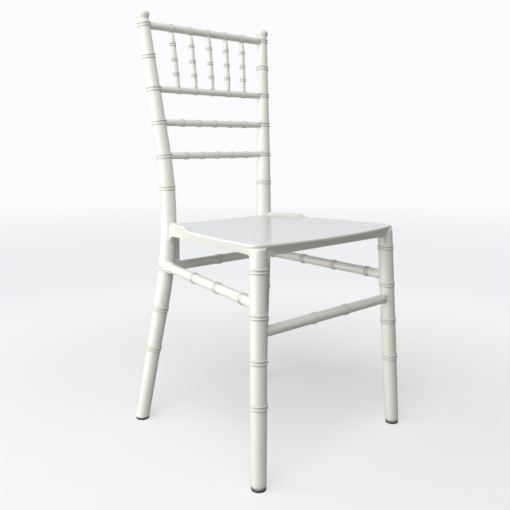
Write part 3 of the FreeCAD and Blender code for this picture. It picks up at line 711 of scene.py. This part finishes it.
height = FRONT_STRETCHER_HEIGHT
centre = leg_point(height)
half = centre[0] - leg_radius(height) + SUNK
new_mesh("stretcher_front", cross_stick(height, centre[1], half, STRETCHER_RADIUS, FRONT_RINGS,
                                        STRETCHER_RING))

height = REAR_STRETCHER_HEIGHT
centre = post_path.point(height)
half = centre[0] - post_radius(height) + SUNK
new_mesh("stretcher_rear", cross_stick(height, centre[1], half, STRETCHER_RADIUS + REAR_EXTRA_RADIUS,
                                       [0.0], STRETCHER_RING))

for name, side in SIDES.items():
    rear, front = side_rear[name], side_front[name]
    toward = unit(front - rear)
    start = rear + toward * (stub_end - SOCKET_DEPTH)
    end = front - toward * (leg_radius(front[2]) - SUNK)
    length = np.linalg.norm(end - start)

    def radius(s):
        near = (s - length + SUNK + SWELL_LENGTH) / SWELL_LENGTH
        return STRETCHER_RADIUS + FRONT_SWELL * smooth_step(near)

    rings = [SOCKET_DEPTH + SIDE_RING_START + step * SIDE_RING_PITCH for step in range(3)]
    new_mesh("stretcher_" + name, stick(start, end, UP, radius, rings, STRETCHER_RING))
print("stretcher", len(made["stretcher_left"].data.polygons), "faces")

# %% [markdown]
# ## Glides
# Dark rubber-like discs under the four feet, a little wider at mid height.

# %% Glides
GLIDE_PROFILE = np.array([(0, 0.93), (0.4, 0.985), (1.4, 1.0), (3.6, 1.0), (4.6, 0.985), (5.0, 0.95)])


def glide(name, foot, radius):
    count = len(GLIDE_PROFILE)
    z = np.interp(np.linspace(0, count - 1, 26), range(count), GLIDE_PROFILE[:, 0])
    radii = np.interp(z, GLIDE_PROFILE[:, 0], GLIDE_PROFILE[:, 1]) * radius
    centres = foot * [1, 1, 0] + np.outer(z * MM, UP)
    new_mesh(name, tube(centres, ACROSS, radii))


for name, side in SIDES.items():
    glide("glide_front_" + name, leg_point(GLIDE_HEIGHT, side), leg_radius(0) - 0.3 * MM)
    glide("glide_rear_" + name, post_path.point(GLIDE_HEIGHT, side), post_radius(0) - 0.3 * MM)

# %% [markdown]
# ## Finish
# Shader maths reads best as ordinary sums, so a small class wraps a socket and turns each
# operator into a Math node. Everything else comes from one method that takes a node's
# type, its settings and the values or links of its sockets.

# %% Shader helpers
class Wire:
    """An output socket of a shader tree, on which sums add Math nodes."""

    def __init__(self, tree, socket):
        self.tree, self.socket = tree, socket

    def maths(self, operation, *values):
        sockets = dict(enumerate(values))
        return self.tree.add("ShaderNodeMath", {"operation": operation}, sockets)["Value"]

    def __add__(self, other):
        return self.maths("ADD", self, other)

    def __sub__(self, other):
        return self.maths("SUBTRACT", self, other)

    def __rsub__(self, other):
        return self.maths("SUBTRACT", other, self)

    def __mul__(self, other):
        return self.maths("MULTIPLY", self, other)

    def __abs__(self):
        return self.maths("ABSOLUTE", self)

    __radd__ = __add__
    __rmul__ = __mul__


class Node:
    """A node whose outputs are looked up by name as wires."""

    def __init__(self, tree, node):
        self.tree, self.node = tree, node

    def __getitem__(self, name):
        return Wire(self.tree, self.node.outputs[name])


class Tree:
    """The nodes of one material or world."""

    def __init__(self, owner):
        owner.use_nodes = True
        self.tree = owner.node_tree
        self.tree.nodes.clear()

    def add(self, kind, settings=None, sockets=None):
        node = self.tree.nodes.new(kind)
        for name, value in (settings or {}).items():
            setattr(node, name, value)
        for name, value in (sockets or {}).items():
            if isinstance(value, Wire):
                self.tree.links.new(value.socket, node.inputs[name])
            else:
                node.inputs[name].default_value = value
        return Node(self, node)

    def noise(self, scale, detail=2.0):
        where = self.add("ShaderNodeTexCoord")["Object"]
        return self.add("ShaderNodeTexNoise", {},
                        {"Vector": where, "Scale": scale, "Detail": detail})["Fac"]

    def ramp(self, value, low, high):
        """Smooth step from 0 at low to 1 at high."""
        return self.add("ShaderNodeMapRange", {"interpolation_type": "SMOOTHSTEP"},
                        {"Value": value, "From Min": low, "From Max": high})["Result"]

    def mixed(self, factor, first, second):
        """A blend of two colours. Sockets 6 and 7 of a Mix node are its colours."""
        return Wire(self, self.add("ShaderNodeMix", {"data_type": "RGBA"},
                                   {0: factor, 6: first, 7: second}).node.outputs[2])


# %% [markdown]
# ## Resin
# The resin looks a warm off-white with a satin skin. A faint cloudiness in the colour and a
# fine grain that breaks up the highlights keep it from looking like bare plaster. On the
# sticks two hairlines stand for the mould's parting lines. They follow the UV map: they lie
# where the turn is 0 and 1/2, as a low ridge of a Bump node. The attribute "marks" blends in
# a second colour: on the sticks a darker painted shade in the creases at the feet of the
# beads. The seat's own colour is a cooler, darker painted shade and painted reflection of
# the backdrop, and there "marks" brings back the sticks' warm colour on its rim and shoulders.

# %% Resin materials
RESIN_COLOUR = (0.85, 0.85, 0.795, 1)
RESIN_CLOUD = (0.815, 0.815, 0.755, 1)
# Painted shade and painted reflection of the backdrop on the seat's top: cooler and darker than the
# resin.
PAINTED_SEAT_SHADE = (0.75, 0.76, 0.785, 1)
PAINTED_SEAT_SHADE_CLOUD = (0.73, 0.74, 0.765, 1)
# Painted shade in the creases at the feet of the beads.
CREASE_SHADE_COLOUR = (0.58, 0.58, 0.53, 1)
GRAIN_SCALE = 900.0
CLOUD_SCALE = 9.0
LINE_SHARE = 0.006


def resin(name, colour, cloud, crease_shade_or_rim_colour, roughness, spread, grain, lines):
    material = bpy.data.materials.new(name)
    tree = Tree(material)
    clouds, fine = tree.noise(CLOUD_SCALE), tree.noise(GRAIN_SCALE)
    height = fine * grain
    if lines:
        turn = tree.add("ShaderNodeSeparateXYZ", {}, {0: tree.add("ShaderNodeTexCoord")["UV"]})["X"]
        doubled = turn * 2 + 0.5
        away = abs(doubled.maths("FRACT", doubled) - 0.5)
        ridge = tree.add("ShaderNodeMapRange", {"interpolation_type": "SMOOTHSTEP"},
                         {"Value": away, "From Max": LINE_SHARE, "To Min": 1.0, "To Max": 0.0})["Result"]
        height = height + ridge
    bump = tree.add("ShaderNodeBump", {}, {"Height": height, "Distance": 0.12 * MM, "Strength": 0.6})
    # The "marks" attribute blends in the painted crease shade on the sticks, and the warm rim and
    # shoulders against the seat's painted shade.
    marks = tree.add("ShaderNodeAttribute", {"attribute_name": "marks"})["Fac"]
    shader = tree.add("ShaderNodeBsdfPrincipled", {}, {
        "Base Color": tree.mixed(marks, tree.mixed(clouds, colour, cloud), crease_shade_or_rim_colour),
        "Roughness": roughness + clouds * spread,
        "IOR": 1.47, "Normal": bump["Normal"]})
    tree.add("ShaderNodeOutputMaterial", {}, {"Surface": shader["BSDF"]})
    return material


def dark_rubber(name):
    material = bpy.data.materials.new(name)
    tree = Tree(material)
    dust = tree.noise(220.0, 4.0)
    bump = tree.add("ShaderNodeBump", {}, {"Height": dust, "Distance": 0.15 * MM, "Strength": 0.5})
    shader = tree.add("ShaderNodeBsdfPrincipled", {}, {
        "Base Color": tree.mixed(dust, (0.045, 0.045, 0.048, 1), (0.09, 0.09, 0.092, 1)),
        "Roughness": 0.55 + dust * 0.2, "Normal": bump["Normal"]})
    tree.add("ShaderNodeOutputMaterial", {}, {"Surface": shader["BSDF"]})
    return material


stick_resin = resin("resin", RESIN_COLOUR, RESIN_CLOUD, CREASE_SHADE_COLOUR, 0.30, 0.10, 0.12, True)
board_resin = resin("board_resin", RESIN_COLOUR, RESIN_CLOUD, CREASE_SHADE_COLOUR, 0.32, 0.10, 0.12, False)
# The seat's finish paints shade and a reflection of the backdrop into the colour of its top.
seat_resin = resin("seat_resin", PAINTED_SEAT_SHADE, PAINTED_SEAT_SHADE_CLOUD, RESIN_COLOUR, 0.17, 0.08, 0.05, False)
glide_rubber = dark_rubber("glide_rubber")

# %% [markdown]
# Each piece takes its finish, rides on the chair's one body and stands for its CAD node.

# %% Pieces and nodes
REPLACED = {"seat": "seat_panel", "apron_front": "front_apron", "apron_rear": "rear_apron",
            "stretcher_front": "front_stretcher", "stretcher_rear": "rear_stretcher"}
REPLACED.update({"ringed_" + rail: rail for rail in RAIL_HEIGHTS})
REPLACED.update({"ringed_spindle_%d" % number: "spindle_%d" % number for number in range(1, 6)})
for side in SIDES:
    REPLACED.update({"post_" + side: "rear_post_" + side, "leg_" + side: "front_leg_" + side,
                     "apron_" + side: "side_apron_" + side,
                     "stretcher_" + side: "side_stretcher_" + side,
                     "glide_front_" + side: "front_glide_" + side,
                     "glide_rear_" + side: "rear_glide_" + side})

for obj in made.values():
    node = REPLACED[obj.name]
    material, slot = stick_resin, "resin"
    if node == "seat_panel":
        material, slot = seat_resin, "seat_resin"
    elif "apron" in node:
        material = board_resin
    elif "glide" in node:
        material, slot = glide_rubber, "glide_rubber"
    obj.data.materials.append(material)
    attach(obj, "root")
    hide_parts(node)
print(len(made), "pieces for", len(frame["nodes"]), "nodes")

# %% [markdown]
# ## Stage
# The floor is plain and pale. Near the chair it is half diffuse, to take the soft shadow,
# and half its own glow. Further out it fades by way of a slightly greyer ring, painted shade
# in its glow, into the backdrop's own colour, so no horizon shows. Rays that don't come from
# the camera meet a darker floor, which throws less light back up at the chair. The backdrop
# is the world, seen by the camera and by reflections, while the chair is lit by a plain level
# of ambient light and three soft boxes: a broad key at the picture's left, a long low one
# that lights the legs below the seat, and one above. The camera is one of several fits to
# the photograph's points that match it about as well.

# %% Stage
BACKDROP = (0.965, 0.97, 0.98, 1)
# Colour of the ring of painted shade in the floor's glow.
FLOOR_SHADE_RING = (0.85, 0.86, 0.88, 1)
FLOOR_COLOUR = (0.95, 0.955, 0.965, 1)
FLOOR_BOUNCE = (0.42, 0.42, 0.41, 1)
FLOOR_GLOW = 0.5
AMBIENT = (1.0, 0.99, 0.97, 1)
AMBIENT_STRENGTH = 0.30
WARM_LIGHT = (1.0, 0.995, 0.97)
WHITE_LIGHT = (1.0, 1.0, 1.0)
CAMERA_PLACE = (-0.9910, -1.0183, 0.6274)
CAMERA_PITCH = math.radians(90 - 3.604)
CAMERA_TURN = math.radians(-43.377)
CAMERA_LENS = 45.44
CAMERA_SHIFT = -0.1389


def floor():
    bpy.ops.mesh.primitive_plane_add(size=30, location=(0, 0, 0))
    plane = bpy.context.object
    plane.name = "floor"
    material = bpy.data.materials.new("floor")
    tree = Tree(material)
    where = tree.add("ShaderNodeTexCoord")["Object"]
    distance = tree.add("ShaderNodeVectorMath", {"operation": "LENGTH"}, {0: where})["Value"]
    fade = tree.ramp(distance, 0.35, 1.5)
    # A ring of painted shade in the floor's glow, about 1 to 6 m from the chair.
    painted_floor_shade = tree.ramp(distance, 0.8, 1.7) * (1 - tree.ramp(distance, 2.2, 6.0))
    seen = tree.add("ShaderNodeLightPath")["Is Camera Ray"]
    colour = tree.mixed(seen, FLOOR_BOUNCE, FLOOR_COLOUR)
    diffuse = tree.add("ShaderNodeBsdfDiffuse", {}, {"Color": colour})["BSDF"]
    shine = tree.mixed(painted_floor_shade, BACKDROP, FLOOR_SHADE_RING)
    glow = tree.add("ShaderNodeEmission", {}, {"Color": shine})["Emission"]
    share = seen * (FLOOR_GLOW + (1 - FLOOR_GLOW) * fade)
    both = tree.add("ShaderNodeMixShader", {}, {0: share, 1: diffuse, 2: glow})["Shader"]
    tree.add("ShaderNodeOutputMaterial", {}, {"Surface": both})
    plane.data.materials.append(material)


def world():
    studio = bpy.data.worlds.new("studio")
    bpy.context.scene.world = studio
    tree = Tree(studio)
    ray = tree.add("ShaderNodeLightPath")
    seen = ray["Is Camera Ray"].maths("MAXIMUM", ray["Is Camera Ray"], ray["Is Glossy Ray"])
    ambient = tree.add("ShaderNodeBackground", {}, {"Color": AMBIENT, "Strength": AMBIENT_STRENGTH})
    backdrop = tree.add("ShaderNodeBackground", {}, {"Color": BACKDROP})
    both = tree.add("ShaderNodeMixShader", {},
                    {0: seen, 1: ambient["Background"], 2: backdrop["Background"]})
    tree.add("ShaderNodeOutputWorld", {}, {"Surface": both["Shader"]})


def soft_box(name, place, aim, size, power, colour):
    data = bpy.data.lights.new(name, "AREA")
    data.shape = "RECTANGLE"
    data.size, data.size_y = size
    data.energy = power
    data.color = colour
    light = bpy.data.objects.new(name, data)
    light.location = place
    light.rotation_euler = (Vector(aim) - Vector(place)).to_track_quat("-Z", "Y").to_euler()
    bpy.context.collection.objects.link(light)


def camera():
    data = bpy.data.cameras.new("camera")
    data.sensor_width = 36.0
    data.lens = CAMERA_LENS
    data.shift_y = CAMERA_SHIFT
    data.clip_start = 0.05
    eye = bpy.data.objects.new("camera", data)
    eye.location = CAMERA_PLACE
    eye.rotation_euler = (CAMERA_PITCH, 0, CAMERA_TURN)
    bpy.context.collection.objects.link(eye)
    bpy.context.scene.camera = eye


floor()
world()
soft_box("key", (-2.18, 1.0, 0.50), (0, 0, 0.42), (1.5, 1.0), 33, WARM_LIGHT)
soft_box("low", (-1.6, -0.15, 0.12), (0.2, 0, 0.34), (1.6, 0.2), 3.5, WARM_LIGHT)
soft_box("top", (-1.15, -0.65, 2.2), (0, -0.05, 0.4), (1.2, 1.2), 29, WHITE_LIGHT)
camera()
bpy.context.scene.view_settings.view_transform = "Standard"
